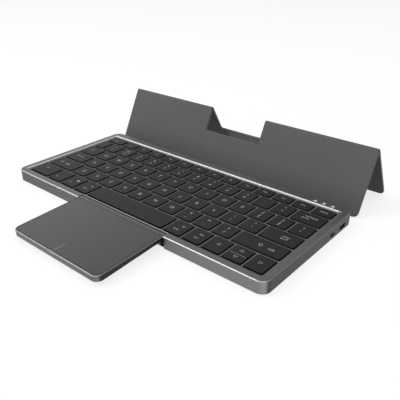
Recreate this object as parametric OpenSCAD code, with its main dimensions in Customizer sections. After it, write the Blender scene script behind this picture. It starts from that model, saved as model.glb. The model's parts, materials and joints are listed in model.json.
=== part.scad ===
// Folding keyboard: a slim aluminium case with a scissor key field, a touchpad
// that folds out from a recess under the case, and a tent-shaped folding cover
// that stands behind the keys and props up a tablet.
// Frame: +X right, +Y to the back, +Z up. The origin is on the desk, under the
// middle of the whole object as it stands unfolded.

/* [Key field] */
// Width and depth of one standard key cell
key_pitch = 16.6; // [16:0.1:18]
// Depth of the front row's cells
front_row_d = 18.6; // [17:0.1:20]
// Depth of the function row's cells
function_row_d = 12.4; // [11:0.1:15]
// Gap between the caps of neighbouring keys
key_gap = 2.2; // [2:0.1:2.6]
// Gap between the two half keys in the front row
half_gap = 0.6; // [0.4:0.1:1]
// Width of the webs between the key cells
web_w = 1; // [0.8:0.1:1.7]
// Plan radius of a cap's corners
cap_r = 1.4; // [0.8:0.1:2]
// Height of a key cap
cap_h = 1.4; // [1.2:0.1:1.8]
// Thickness of a cap's top
cap_top_t = 0.5; // [0.4:0.1:0.7]
// Thickness of a cap's side skirt
cap_wall = 0.9; // [0.6:0.1:1.2]
// Inward slope of a cap's sides, over their height
cap_bevel = 0.25; // [0.1:0.05:0.4]
// Key travel
key_travel = 1.2; // [0.8:0.1:1.6]
// Depth of the cap tops below the deck
cap_drop = 0.5; // [0.2:0.1:0.8]
// Depth of the web tops below the cap tops
web_drop = 0.8; // [0.5:0.1:1]
// Border between the key cells and the case's well
field_border = 1.4; // [1:0.1:2]
// Reach of the key frame under the deck
frame_tuck = 0.8; // [0.5:0.1:1]
// Distance of the key frame's tucked edge from the key well's front
frame_front = 2; // [1:0.1:4]

/* [Case] */
// Width of the deck beside the key field
rim_side = 5.2; // [4.8:0.1:9]
// Depth of the deck in front of the key field
rim_front = 5.6; // [5.5:0.1:7]
// Depth of the deck behind the key field
rim_rear = 7.6; // [7:0.1:12]
// Plan radius of the case's corners
case_r = 6.5; // [5:0.1:8]
// Thickness of the case's walls
case_wall = 1.5; // [1:0.1:1.8]
// Thickness of the deck
deck_t = 1.3; // [1:0.1:1.6]
// Bevel along the deck's outer edge
case_bevel = 0.5; // [0.3:0.1:1]
// Bevel round the mouth of the key well
well_bevel = 0.3; // [0.2:0.1:0.8]
// Plan radius of the key well's corners
well_r = 1.6; // [1:0.1:2.5]
// Thickness of the bottom cover
cover_plate_t = 1; // [0.8:0.1:1.3]
// Play between the bottom cover and the case wall
cover_play = 0.15; // [0.1:0.05:0.3]
// Height of the rubber feet below the case
foot_h = 0.8; // [0.5:0.1:2]
// Radius of a rubber foot
foot_r = 4; // [3:0.1:6]
// Distance of the feet from the case's sides
foot_inset = 14; // [11:0.5:20]
// Depth of the seat of a foot in the bottom cover
foot_seat = 0.3; // [0.2:0.1:0.5]
// Thickness of the sheet between the touchpad recess and the key plate
pan_t = 0.45; // [0.4:0.05:0.8]
// Thickness of the touchpad recess's walls
pan_wall = 0.8; // [0.6:0.1:1.2]
// Radius of the posts that carry the key plate
post_r = 1.6; // [1.2:0.1:2.5]
// Distance of the rear posts from the key well's back
post_from_back = 4; // [3:0.1:8]
// Distance of the front posts from the key well's front
post_from_front = 6; // [4:0.1:8]

/* [Screws] */
// Radius of a case screw's shank
screw_r = 0.7; // [0.6:0.05:0.9]
// Radius of a case screw's head
screw_head_r = 1.35; // [1.2:0.05:1.6]
// Length of a case screw
screw_l = 4.5; // [3.5:0.1:5.5]
// Radius of the screw bosses
boss_r = 1.9; // [1.7:0.1:2]
// Clearance round a screw in the bottom cover
screw_play = 0.1; // [0.05:0.05:0.15]
// Distance of the outer screws from the rounding of the case's corners
screw_set = 4; // [3:0.1:8]
// Distance of the inner screws from the case's middle
screw_mid = 60; // [54:0.5:70]

/* [Key switches] */
// Thickness of the steel key plate
key_plate_t = 0.35; // [0.3:0.05:0.6]
// Reach of the key plate under the deck
plate_tuck = 1.4; // [1:0.1:1.6]
// Thickness of the switch membrane
membrane_t = 0.2; // [0.15:0.05:0.4]
// Space left below a pressed cap
press_gap = 0.3; // [0.2:0.05:0.5]
// Height of a rubber dome
dome_h = 1; // [0.6:0.05:1]
// Largest radius of a dome's foot
dome_r = 2.4; // [1.8:0.1:2.6]
// Height of a folded scissor frame
scissor_h = 0.9; // [0.5:0.05:1]
// Largest side of a scissor frame
scissor_max = 10.4; // [8:0.1:10.6]
// Width of a scissor frame's bars
scissor_bar = 0.9; // [0.6:0.1:1]
// Clearance between a scissor frame and a cap's skirt
scissor_gap = 0.4; // [0.3:0.05:0.6]

/* [Electronics] */
// Width of the battery
battery_w = 62; // [50:1:62]
// Depth of the battery
battery_d = 58; // [40:1:66]
// Thickness of the battery
battery_t = 3.4; // [2.5:0.1:3.8]
// Plan radius of the battery's corners
battery_r = 2; // [1:0.1:4]
// Width of the main board
board_w = 54; // [48:0.5:58]
// Depth of the main board
board_d = 40; // [34:0.5:41]
// Thickness of the main board
board_t = 0.8; // [0.6:0.1:1]
// Reach of the main board's arm in front of the power switch
arm_front = 8; // [5:0.1:10]
// Reach of the main board's arm behind the charging port
arm_back = 6.5; // [5:0.1:8]
// Thickness of the flat cables
flex_t = 0.2; // [0.15:0.05:0.3]
// Width of the flat cables
flex_w = 5; // [3:0.1:6]
// Width of the charging port's shell
port_w = 8.94; // [8.9:0.01:9]
// Height of the charging port's shell
port_h = 3.16; // [3.1:0.01:3.26]
// Length of the charging port's shell
port_l = 7.3; // [6.5:0.1:8]
// Thickness of the charging port's shell
port_shell_t = 0.3; // [0.2:0.05:0.4]
// Thickness of the charging port's tongue
tongue_t = 0.7; // [0.6:0.1:0.8]
// Depth of the charging port's tongue behind its mouth
tongue_back = 1; // [0.6:0.1:2]
// Distance of the charging port's tongue from the sides of its shell
tongue_side = 1.2; // [0.8:0.1:1.6]
// Play round the port in the case wall
port_play = 0.15; // [0.1:0.05:0.3]
// Distance of the port's middle from the case's back
port_from_back = 16; // [13:0.5:20]
// Distance of the power switch's middle from the case's back
switch_from_back = 30.4; // [27:0.1:34]
// Travel of the power switch
switch_travel = 2; // [1.5:0.1:3]
// Length of the power switch's knob
knob_l = 2.8; // [2:0.1:3]
// Height of the power switch's knob
knob_h = 1.7; // [1.2:0.1:2]
// Knob's reach past the case wall
knob_out = 0.4; // [0.2:0.05:0.5]
// Length of the knob's root inside the case wall
knob_tail = 1.6; // [1:0.1:2]
// Depth of the power switch's housing
switch_d = 4.4; // [3:0.1:6]
// Length of the power switch's housing past its slot, at both ends
switch_ends = 2.4; // [1.6:0.1:4]
// Height of the power switch's housing above its knob
switch_roof = 0.7; // [0.5:0.1:1]
// Running clearance round the power switch's knob
knob_play = 0.25; // [0.2:0.05:0.35]
// Radius of an indicator lens
lens_r = 1; // [0.7:0.1:1.3]
// Distance between the indicator lenses
lens_pitch = 7.1; // [5:0.1:9]
// Distance of the outer lens from the case's side
lens_from_side = 14.2; // [12:0.1:18]
// Number of indicator lenses
lens_count = 3; // [1:1:4]

/* [Touchpad] */
// Width of the touchpad
pad_w = 88.2; // [80:0.1:96]
// Length of the touchpad from its hinge line to its front edge
pad_l = 57; // [50:0.1:60]
// Thickness of the touchpad at its front edge
pad_front_t = 4.3; // [3.8:0.1:4.8]
// Thickness of the touchpad beside its hinge
pad_rear_t = 3; // [2.8:0.1:3.3]
// Plan radius of the touchpad's front corners
pad_r = 5; // [3:0.1:8]
// Bevel along the touchpad's top edges
pad_bevel = 0.4; // [0.3:0.1:0.8]
// Width of the frame round the touch surface
pad_rim = 1.1; // [0.8:0.1:2]
// Slope of the unfolded touchpad, front edge down
pad_tilt = 2.1; // [0:0.1:5]
// Play beside the touchpad in its bay
pad_side_gap = 0.3; // [0.2:0.05:0.6]
// Play in front of the folded touchpad
pad_end_gap = 0.5; // [0.4:0.05:1]
// Play above the folded touchpad
pad_fold_gap = 0.3; // [0.25:0.05:0.6]
// Depth of the folded touch surface inside the case's underside
pad_inset = 0.1; // [0:0.05:0.3]
// Radius of the touchpad's hinge barrel
barrel_r = 3.5; // [3:0.1:3.6]
// Running gap round the hinge barrel
barrel_gap = 0.3; // [0.25:0.05:0.5]
// Thickness of the lip between the touchpad bay and the key well
bay_lip_t = 0.7; // [0.6:0.05:0.9]
// Drop of the unfolded touchpad's top below the deck at the hinge line
pad_drop = 0.1; // [0:0.05:0.4]
// Width of the finger scoop in the touchpad's front edge
finger_w = 14; // [8:0.1:18]
// Depth of the finger scoop, square to its slope
finger_cut = 0.8; // [0.4:0.05:0.9]
// Slope of the finger scoop
finger_slope = 60; // [50:1:66]
// Radius of a touchpad hinge pin
pin_r = 0.8; // [0.7:0.05:0.9]
// Running clearance of a hinge pin in the barrel
pin_play = 0.05; // [0.03:0.01:0.1]
// Clearance of a hinge pin in its ear
pin_seat_play = 0.02; // [0.01:0.01:0.05]
// Length of a hinge pin inside the barrel
pin_in = 9; // [6:0.5:14]
// Width of a hinge ear
ear_w = 5; // [3.5:0.1:6]
// Thickness of the touch surface
touch_t = 0.7; // [0.5:0.05:0.8]
// Thickness of the touch surface's board
touch_board_t = 0.7; // [0.5:0.05:0.8]
// Click travel of the touch surface at its front edge
click_travel = 0.3; // [0.2:0.05:0.4]
// Gap round the touch surface
touch_gap = 0.35; // [0.25:0.05:0.5]
// Plan radius of the touch surface's corners
touch_r = 4; // [2:0.1:6]
// Height of the click switch under the touch surface
click_h = 0.3; // [0.2:0.05:0.4]
// Width of the click switch
click_w = 5; // [3:0.1:6]

/* [Folding cover] */
// Reach of the cover past the case's sides
cover_side = 0.5; // [0:0.1:4]
// Length of the front panel from its fold line to the ridge
front_panel_l = 50; // [40:0.5:54]
// Thickness of a panel
panel_t = 2.4; // [2:0.1:2.8]
// Thickness of the board inside a panel
panel_board_t = 1; // [0.6:0.1:1.2]
// Width of the stitched edge round a panel's board
panel_seam = 3; // [2:0.1:5]
// Slope of the standing front panel
front_angle = 63.5; // [58:0.5:68]
// Slope of the standing rear panel
rear_angle = 59.7; // [56:0.1:64]
// Plan radius of the cover's corners
cover_r = 4; // [2:0.1:7]
// Width of the cut-out across the ridge
notch_w = 56; // [40:0.5:70]
// Place of the cut-out's middle, to the right of the cover's middle
notch_x = -1.5; // [-8:0.5:8]
// Depth of the cut-out in the front panel
notch_front = 20; // [12:0.5:26]
// Depth of the cut-out in the rear panel
notch_rear = 25.6; // [14:0.1:30]
// Distance between the cover's lower fold line and the front panel's face
fold_offset = 5.2; // [4.8:0.1:6]
// Gap between the deck and the closed cover
cover_gap = 0.3; // [0.2:0.05:0.8]
// Radius of the rolled beads at the cover's folds
bead_r = 1.2; // [0.9:0.05:1.4]
// Running gap beside a bead
bead_gap = 0.3; // [0.25:0.05:0.5]
// Distance from the ridge's fold line to the panels' full thickness
ridge_set = 2.6; // [2.5:0.1:4]
// Thickness of the leather web at a fold
fold_web_t = 1; // [0.8:0.05:1.2]
// Thickness of the leather spine on the case's back
spine_t = 0.7; // [0.5:0.05:1]
// Side of a cover magnet
magnet_l = 8; // [5:0.5:12]
// Width of a cover magnet
magnet_w = 2; // [1.5:0.1:2.4]
// Thickness of a deck magnet
magnet_t = 1; // [0.6:0.1:1.5]
// Distance of the magnets from the stitched edge
magnet_set = 4; // [1:0.5:8]
// Distance of a deck magnet from the case wall
magnet_wall_gap = 0.55; // [0.3:0.05:0.6]

/* [Hidden] */
$fn = 48;

// Overshoot of a cutting solid past the face that it cuts
cut = 1;

// Key cells, from the function row to the front row, in key pitches
row_cells = [
    [1.15, 1, 1, 1, 1, 1, 1, 1, 1, 1, 1, 1, 1, 1.05],
    [0.7, 1, 1, 1, 1, 1, 1, 1, 1, 1, 1, 1, 1, 1.5],
    [1.2, 1, 1, 1, 1, 1, 1, 1, 1, 1, 1, 1, 1, 1],
    [1.45, 1, 1, 1, 1, 1, 1, 1, 1, 1, 1, 1, 1.75],
    [1.85, 1, 1, 1, 1, 1, 1, 1, 1, 1, 1, 2.35],
    [1.45, 1, 1, 1, 4.8, 1, 1, 1, 1, 0.95]
];
front_row = 5;
split_cell = 8;

function total(v, n) = n <= 0 ? 0 : v[n - 1] + total(v, n - 1);
field_w = key_pitch * total(row_cells[0], len(row_cells[0]));
field_d = function_row_d + 4 * key_pitch + front_row_d;

// Plan of the case, about its own middle
well_w = field_w + 2 * field_border;
well_d = field_d + 2 * field_border;
case_w = well_w + 2 * rim_side;
case_d = well_d + rim_front + rim_rear;
case_front = -case_d / 2;
case_back = case_d / 2;
well_front = case_front + rim_front;
well_back = case_back - rim_rear;
field_back = well_back - field_border;
wall_in_x = case_w / 2 - case_wall;

// Heights, from the desk up
case_z = foot_h;
plate_in_z = case_z + cover_plate_t;
folded_z = case_z + pad_inset;
recess_z = folded_z + pad_front_t + pad_fold_gap;
key_plate_z = recess_z + pan_t;
membrane_z = key_plate_z + key_plate_t;
switch_z = membrane_z + membrane_t;
cap_z = switch_z + press_gap + key_travel;
cap_top_z = cap_z + cap_h;
deck_z = cap_top_z + cap_drop;
case_h = deck_z - case_z;
deck_in_z = deck_z - deck_t;
web_z = cap_top_z - web_drop;

// Touchpad hinge line and bay
bay_w = pad_w + 2 * pad_side_gap;
bay_back = well_front - bay_lip_t;
hinge_y = bay_back - barrel_gap - barrel_r;
pad_top = (deck_z - pad_drop - folded_z) / 2;
hinge_z = folded_z + pad_top;
recess_back = hinge_y + pad_l + pad_end_gap;
barrel_back = barrel_r - 0.1;
touch_back = hinge_y - case_front - 0.3;
pocket_floor = pad_top - touch_t - touch_board_t - click_travel - click_h;
finger_r = finger_w * finger_w / (8 * finger_cut) + finger_cut / 2;

// Cover width and folds
cover_w = case_w + 2 * cover_side;
fold_y = case_back + spine_t + bead_gap + bead_r;
closed_z = deck_z + cover_gap;
fold_z = closed_z - fold_offset;
ridge_y = fold_y + front_panel_l * cos(front_angle)
    + (fold_offset + panel_t / 2) * sin(front_angle);
ridge_z = fold_z + front_panel_l * sin(front_angle)
    - (fold_offset + panel_t / 2) * cos(front_angle);
rear_panel_l = (ridge_z - panel_t / 2 * cos(rear_angle)) / sin(rear_angle);

// The origin lies under the middle of the unfolded object
front_reach = hinge_y - pad_l * cos(pad_tilt) - (pad_top - pad_bevel) * sin(pad_tilt);
back_reach = ridge_y + rear_panel_l * cos(rear_angle) + panel_t / 2 * sin(rear_angle);
case_y = -(front_reach + back_reach) / 2;

// Colours
case_grey = [0.36, 0.37, 0.38];
deep_grey = [0.22, 0.22, 0.23];
cap_black = [0.13, 0.13, 0.14];
web_grey = [0.5, 0.5, 0.51];
leather_grey = [0.3, 0.3, 0.31];
steel = [0.66, 0.67, 0.69];
board_green = [0.08, 0.26, 0.16];
copper = [0.72, 0.45, 0.25];
rubber_black = [0.08, 0.08, 0.08];
board_brown = [0.5, 0.42, 0.3];

// ---- Shared shapes ----

// Rounded rectangle about the origin, made of straight bars and round corners
module round_rect(w, d, r) {
    square([w - 2 * r, d], center = true);
    square([w, d - 2 * r], center = true);
    for (x = [-1, 1], y = [-1, 1])
        translate([x * (w / 2 - r), y * (d / 2 - r)]) circle(r);
}

module round_slab(w, d, h, r) {
    linear_extrude(h) round_rect(w, d, r);
}

// Layer whose outline shrinks by c on every side over its height; a negative c
// widens it, as for the mouth of a well
module bevel_layer(w, d, h, r, c) {
    flat_x = w / 2 - r;
    flat_y = d / 2 - r;
    rotate([90, 0, 90]) linear_extrude(2 * flat_x, center = true)
        polygon([[-d / 2, 0], [d / 2, 0], [d / 2 - c, h], [c - d / 2, h]]);
    rotate([90, 0, 0]) linear_extrude(2 * flat_y, center = true)
        polygon([[-w / 2, 0], [w / 2, 0], [w / 2 - c, h], [c - w / 2, h]]);
    for (x = [-1, 1], y = [-1, 1])
        translate([x * flat_x, y * flat_y, 0]) cylinder(h = h, r1 = r, r2 = r - c);
}

// Slab with its top edges bevelled by c, made of two bars and four corners
module bevel_slab(w, d, h, r, c) {
    flat_x = w / 2 - r;
    flat_y = d / 2 - r;
    rotate([90, 0, 90]) linear_extrude(2 * flat_x, center = true)
        polygon([[-d / 2, 0], [d / 2, 0], [d / 2, h - c], [d / 2 - c, h], [c - d / 2, h], [-d / 2, h - c]]);
    rotate([90, 0, 0]) linear_extrude(2 * flat_y, center = true)
        polygon([[-w / 2, 0], [w / 2, 0], [w / 2, h - c], [w / 2 - c, h], [c - w / 2, h], [-w / 2, h - c]]);
    for (x = [-1, 1], y = [-1, 1]) translate([x * flat_x, y * flat_y, 0])
        rotate_extrude() polygon([[0, 0], [r, 0], [r, h - c], [r - c, h], [0, h]]);
}

// Box given by its two corners
module span(low, high) {
    translate(low) cube(high - low);
}

// Moves the case's own middle to its place in the object's frame
module placed() {
    translate([0, case_y, 0]) children();
}

// ---- Key cells ----

function cell_w(row, i) = key_pitch * row_cells[row][i];
function cell_x(row, i) = key_pitch * total(row_cells[row], i) - field_w / 2 + cell_w(row, i) / 2;
function cell_d(row) = row == 0 ? function_row_d : row == front_row ? front_row_d : key_pitch;
function row_back(row) = row == 0 ? field_back : row_back(row - 1) - cell_d(row - 1);
function cell_y(row) = row_back(row) - cell_d(row) / 2;

// A cap is [middle x, middle y, width, depth]
function cap_of(row, i) = [cell_x(row, i), cell_y(row), cell_w(row, i) - key_gap, cell_d(row) - key_gap];
half_d = (front_row_d - key_gap - half_gap) / 2;
function half_cap(side) = [
    cell_x(front_row, split_cell),
    cell_y(front_row) + side * (half_d + half_gap) / 2,
    cell_w(front_row, split_cell) - key_gap,
    half_d
];
all_caps = concat(
    [for (row = [0 : front_row]) for (i = [0 : len(row_cells[row]) - 1])
        if (row != front_row || i != split_cell) cap_of(row, i)],
    [half_cap(1), half_cap(-1)]
);

// Room under a pressed cap, which holds the domes and the scissor frames
pressed_room = press_gap + cap_h - cap_top_t;
dome_top = min(dome_h, pressed_room - 0.1);
scissor_top = min(scissor_h, pressed_room - 0.1);

// Side of a scissor frame under a cap of this side, and the dome inside it
function scissor_side(side) = min(scissor_max, side - 2 * (cap_wall + scissor_gap));
function dome_of(cap) = min(dome_r, scissor_side(min(cap[2], cap[3])) / 2 - scissor_bar - 0.15);

module keycap(cap) {
    translate([cap[0], cap[1], cap_z]) difference() {
        bevel_slab(cap[2], cap[3], cap_h, cap_r, cap_bevel);
        translate([0, 0, -cut])
            round_slab(cap[2] - 2 * cap_wall, cap[3] - 2 * cap_wall, cut + cap_h - cap_top_t, cap_r / 2);
    }
}

module key(row, i) {
    color(cap_black) placed() keycap(cap_of(row, i));
}

module half_key(side) {
    color(cap_black) placed() keycap(half_cap(side));
}

module key_run(row, first, last) {
    color(cap_black) placed() for (i = [first : last]) keycap(cap_of(row, i));
}

// ---- Case ----

boss_y = case_back - case_wall - boss_r;
boss_x = case_w / 2 - case_r - screw_set;
boss_front_y = case_front + case_wall + boss_r + 0.1;
boss_places = [for (x = [-boss_x, -screw_mid, screw_mid, boss_x], y = [boss_front_y, boss_y]) [x, y]];
port_y = case_back - port_from_back;
switch_y = case_back - switch_from_back;
board_top_z = plate_in_z + board_t;
port_z = board_top_z + port_h / 2;
knob_z = board_top_z + knob_h / 2 + 0.5;
lens_y = (well_back + case_back) / 2 - well_bevel / 4;
lens_x = [for (i = [0 : lens_count - 1]) case_w / 2 - lens_from_side - i * lens_pitch];

// Outline of the charging port, lying in the XY plane with its length along X
module port_outline(grow) {
    round_rect(port_w + 2 * grow, port_h + 2 * grow, port_h / 2 + grow - 0.01);
}

module case_shell() {
    difference() {
        translate([0, 0, case_z]) bevel_slab(case_w, case_d, case_h, case_r, case_bevel);
        translate([0, 0, case_z - cut])
            round_slab(case_w - 2 * case_wall, case_d - 2 * case_wall,
                deck_in_z - case_z + cut, case_r - case_wall);
        translate([0, (well_front + well_back) / 2, 0]) {
            translate([0, 0, deck_in_z - cut]) round_slab(well_w, well_d, deck_t + 2 * cut, well_r);
            translate([0, 0, deck_z - well_bevel])
                bevel_layer(well_w, well_d, well_bevel, well_r, -well_bevel);
        }
        span([-bay_w / 2, case_front - cut, 0], [bay_w / 2, bay_back, deck_z + cut]);
    }
}

module hinge_ears() {
    for (side = [-1, 1]) translate([side * (bay_w + ear_w) / 2, 0, 0])
        span([-ear_w / 2, case_front + case_wall / 2, plate_in_z], [ear_w / 2, bay_back + 0.2, deck_in_z + 0.1]);
}

module top_case() {
    color(case_grey) placed() {
        difference() {
            union() {
                case_shell();
                hinge_ears();
                span([-bay_w / 2 - 0.1, bay_back, key_plate_z], [bay_w / 2 + 0.1, well_front, deck_z - well_bevel]);
                for (p = boss_places)
                    translate([p[0], p[1], plate_in_z]) cylinder(h = deck_in_z - plate_in_z + 0.1, r = boss_r);
            }
            for (p = boss_places)
                translate([p[0], p[1], plate_in_z - cut]) cylinder(h = screw_l + cut, r = screw_r);
            translate([0, hinge_y, hinge_z]) rotate([0, 90, 0])
                cylinder(h = bay_w + 2 * ear_w, r = pin_r + pin_seat_play, center = true);
            translate([wall_in_x - cut, port_y, port_z]) rotate([90, 0, 90])
                linear_extrude(case_wall + 2 * cut) port_outline(port_play);
            span([wall_in_x - cut, switch_y - (knob_l + switch_travel) / 2 - knob_play, knob_z - knob_h / 2 - knob_play],
                [case_w / 2 + cut, switch_y + (knob_l + switch_travel) / 2 + knob_play, knob_z + knob_h / 2 + knob_play]);
            for (x = lens_x)
                translate([x, lens_y, deck_in_z - cut]) cylinder(h = deck_t + 2 * cut, r = lens_r + 0.05);
            for (side = [-1, 1])
                translate([side * magnet_x, magnet_y, 0])
                    span([-magnet_w / 2, -magnet_l / 2, deck_in_z - cut], [magnet_w / 2, magnet_l / 2, deck_in_z + magnet_t - 0.4]);
        }
    }
}

foot_places = [for (x = [-1, 1], y = [-1, 1]) [x * (case_w / 2 - foot_inset), y * (case_d / 2 - foot_inset)]];
post_places = [for (x = [-1, 1], y = [-1, 0, 1])
    [x * (bay_w / 2 + pan_wall + ear_w + post_r), y == 1 ? well_back - post_from_back
        : y == 0 ? recess_back : well_front + post_from_front]];

module bottom_cover() {
    plate_w = case_w - 2 * (case_wall + cover_play);
    plate_d = case_d - 2 * (case_wall + cover_play);
    pan_w = bay_w + 2 * pan_wall;
    color(case_grey) placed() difference() {
        union() {
            translate([0, 0, case_z]) round_slab(plate_w, plate_d, cover_plate_t, case_r - case_wall - cover_play);
            span([-pan_w / 2, bay_back + 0.3, case_z], [pan_w / 2, recess_back + pan_wall, key_plate_z]);
            for (p = post_places)
                translate([p[0], p[1], plate_in_z - 0.1]) cylinder(h = key_plate_z - plate_in_z + 0.1, r = post_r);
        }
        span([-bay_w / 2, case_front - cut, 0], [bay_w / 2, recess_back, recess_z]);
        span([-bay_w / 2 - ear_w - 0.2, case_front - cut, 0], [bay_w / 2 + ear_w + 0.2, bay_back + 0.3, plate_in_z + cut]);
        for (p = boss_places) translate([p[0], p[1], case_z]) {
            translate([0, 0, -cut]) cylinder(h = cover_plate_t + 2 * cut, r = screw_r + screw_play);
            translate([0, 0, -0.01]) cylinder(h = screw_head_r - screw_r, r1 = screw_head_r + screw_play, r2 = screw_r + screw_play);
        }
        for (p = foot_places)
            translate([p[0], p[1], case_z - cut]) cylinder(h = foot_seat + cut, r = foot_r + 0.05);
    }
}

module rubber_feet() {
    color(rubber_black) placed() for (p = foot_places)
        translate([p[0], p[1], 0]) cylinder(h = foot_h + foot_seat, r = foot_r);
}

module case_screws() {
    head_h = screw_head_r - screw_r;
    color(steel) placed() for (p = boss_places) translate([p[0], p[1], case_z + 0.05]) difference() {
        union() {
            cylinder(h = head_h, r1 = screw_head_r, r2 = screw_r - 0.02);
            cylinder(h = screw_l - 0.2, r = screw_r - 0.02);
        }
        for (turn = [0, 90]) rotate(turn) translate([0, 0, 0.1]) cube([1.2, 0.3, 0.6], center = true);
    }
}

// The magnets in the deck lie under those of the closed cover
magnet_reach = panel_seam + magnet_set + magnet_l / 2;
magnet_x = wall_in_x - magnet_w / 2 - magnet_wall_gap;
magnet_y = fold_y - front_panel_l - rear_panel_l + magnet_reach;

module deck_magnets() {
    color(steel) placed() for (side = [-1, 1])
        translate([side * magnet_x, magnet_y, 0])
            span([0.05 - magnet_w / 2, 0.05 - magnet_l / 2, deck_in_z - 0.4],
                [magnet_w / 2 - 0.05, magnet_l / 2 - 0.05, deck_in_z - 0.4 + magnet_t]);
}

// ---- Key field ----

module key_frame() {
    color(web_grey) placed() difference() {
        union() {
            translate([0, (well_front + well_back) / 2, switch_z])
                round_slab(well_w - 0.1, well_d - 0.1, web_z - switch_z, well_r);
            span([-well_w / 2 - frame_tuck, well_front + frame_front, switch_z],
                [well_w / 2 + frame_tuck, well_back + frame_tuck, deck_in_z - 0.1]);
        }
        for (row = [0 : front_row], i = [0 : len(row_cells[row]) - 1])
            translate([cell_x(row, i), cell_y(row), switch_z - cut])
                round_slab(cell_w(row, i) - web_w, cell_d(row) - web_w, web_z - switch_z + 2 * cut, cap_r);
    }
}

module key_plate() {
    color(steel) placed() difference() {
        span([-well_w / 2 - plate_tuck, well_front + 0.05, key_plate_z],
            [well_w / 2 + plate_tuck, well_back + plate_tuck, membrane_z]);
        for (p = post_places) translate([p[0], p[1], key_plate_z - cut]) cylinder(h = key_plate_t + 2 * cut, r = screw_r);
    }
}

module switch_membrane() {
    color(deep_grey) placed()
        span([-field_w / 2, well_front + 0.3, membrane_z], [field_w / 2, well_back, switch_z]);
}

module rubber_domes() {
    color(web_grey) placed() for (cap = all_caps)
        translate([cap[0], cap[1], switch_z]) cylinder(h = dome_top, r1 = dome_of(cap), r2 = dome_of(cap) * 0.65);
}

module scissor_frames() {
    color([0.85, 0.85, 0.84]) placed() for (cap = all_caps)
        translate([cap[0], cap[1], switch_z]) linear_extrude(scissor_top) difference() {
            square([scissor_side(cap[2]), scissor_side(cap[3])], center = true);
            square([scissor_side(cap[2]) - 2 * scissor_bar, scissor_side(cap[3]) - 2 * scissor_bar], center = true);
        }
}

// ---- Electronics ----

board_left = wall_in_x - switch_d - board_w;
board_back = boss_y - boss_r - 0.6;
battery_lane = recess_back + pan_wall + 1;
board_front = max(board_back - board_d, battery_lane + flex_w + 0.1);

module main_board() {
    color(board_green) placed() {
        span([board_left, board_front, plate_in_z], [board_left + board_w, board_back, board_top_z]);
        span([board_left + board_w - 0.1, switch_y - arm_front, plate_in_z],
            [wall_in_x - 0.3, port_y + arm_back, board_top_z]);
    }
}

battery_x = -(bay_w / 2 + pan_wall + ear_w + 2 * post_r + 0.6);

module battery() {
    color(steel) placed() translate([battery_x - battery_w / 2, (well_front + well_back) / 2, plate_in_z + 0.1])
        round_slab(battery_w, battery_d, battery_t, battery_r);
}

// The battery's cable ends at the main board, over the touchpad's cable
module battery_flex() {
    cable_y = board_front - 0.1;
    cable_z = plate_in_z + flex_t + 0.1;
    color(copper) placed()
        span([battery_x, cable_y - flex_w, cable_z], [board_left + flex_w, cable_y, cable_z + flex_t]);
}

module touchpad_flex() {
    lane_x = bay_w / 2 + pan_wall + 0.2;
    lane_w = min(flex_w, ear_w - 0.4);
    turn_y = board_front + 2;
    color(copper) placed() {
        span([lane_x, bay_back + 1, plate_in_z], [lane_x + lane_w, turn_y + flex_w, plate_in_z + flex_t]);
        span([lane_x, turn_y, plate_in_z], [board_left, turn_y + flex_w, plate_in_z + flex_t]);
    }
}

module usb_c_port() {
    color(steel) placed() translate([case_w / 2 - 0.1 - port_l, port_y, port_z]) rotate([90, 0, 90]) {
        difference() {
            linear_extrude(port_l) port_outline(0);
            translate([0, 0, port_shell_t]) linear_extrude(port_l) port_outline(-port_shell_t);
        }
        translate([0, 0, port_shell_t / 2]) linear_extrude(port_l - tongue_back)
            square([port_w - 2 * tongue_side, tongue_t], center = true);
    }
}

module power_switch_body() {
    body_l = knob_l + switch_travel + switch_ends;
    slot_half = (knob_l + switch_travel) / 2 + knob_play;
    color(deep_grey) placed() difference() {
        span([wall_in_x - switch_d, switch_y - body_l / 2, board_top_z],
            [wall_in_x - 0.1, switch_y + body_l / 2, knob_z + knob_h / 2 + switch_roof]);
        span([wall_in_x - knob_tail - 0.4, switch_y - slot_half, knob_z - knob_h / 2 - knob_play],
            [wall_in_x + cut, switch_y + slot_half, knob_z + knob_h / 2 + knob_play]);
    }
}

// The knob rests at the front end of its slot
module power_switch_knob() {
    front = switch_y - (knob_l + switch_travel) / 2;
    color(deep_grey) placed() difference() {
        span([wall_in_x - knob_tail, front, knob_z - knob_h / 2], [case_w / 2 + knob_out, front + knob_l, knob_z + knob_h / 2]);
        for (rib = [-1, 0, 1])
            translate([case_w / 2 + knob_out, front + knob_l / 2 + rib * knob_l / 4, knob_z])
                rotate([0, 0, 45]) cube([0.25, 0.25, knob_h + cut], center = true);
    }
}

module indicator_lenses() {
    color([0.9, 0.9, 0.88]) placed() for (x = lens_x)
        translate([x, lens_y, board_top_z]) cylinder(h = deck_z - board_top_z, r = lens_r);
}

// ---- Touchpad, drawn about its hinge line and then laid open ----

module at_pad() {
    placed() translate([0, hinge_y, hinge_z]) rotate([pad_tilt, 0, 0]) children();
}

module touchpad_hinge_pins() {
    color(steel) placed() for (side = [-1, 1])
        translate([side * (bay_w / 2 + (ear_w - pin_in) / 2), hinge_y, hinge_z])
            rotate([0, 90, 0]) cylinder(h = ear_w + pin_in, r = pin_r, center = true);
}

// Side view of the touchpad: flat top, sloping underside and round barrel
module pad_profile() {
    circle(barrel_r);
    polygon([
        [-pad_l, pad_top - pad_front_t], [-barrel_r, pad_top - pad_rear_t], [0, 0],
        [barrel_back, 0], [barrel_back, pad_top], [-pad_l, pad_top]
    ]);
}

module pad_plan() {
    depth = pad_l + barrel_r + 2;
    translate([0, barrel_r + 2 - depth / 2]) {
        round_rect(pad_w, depth, pad_r);
        translate([0, pad_r]) square([pad_w, depth - 2 * pad_r], center = true);
        translate([0, depth / 4]) square([pad_w, depth / 2], center = true);
    }
}

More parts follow.
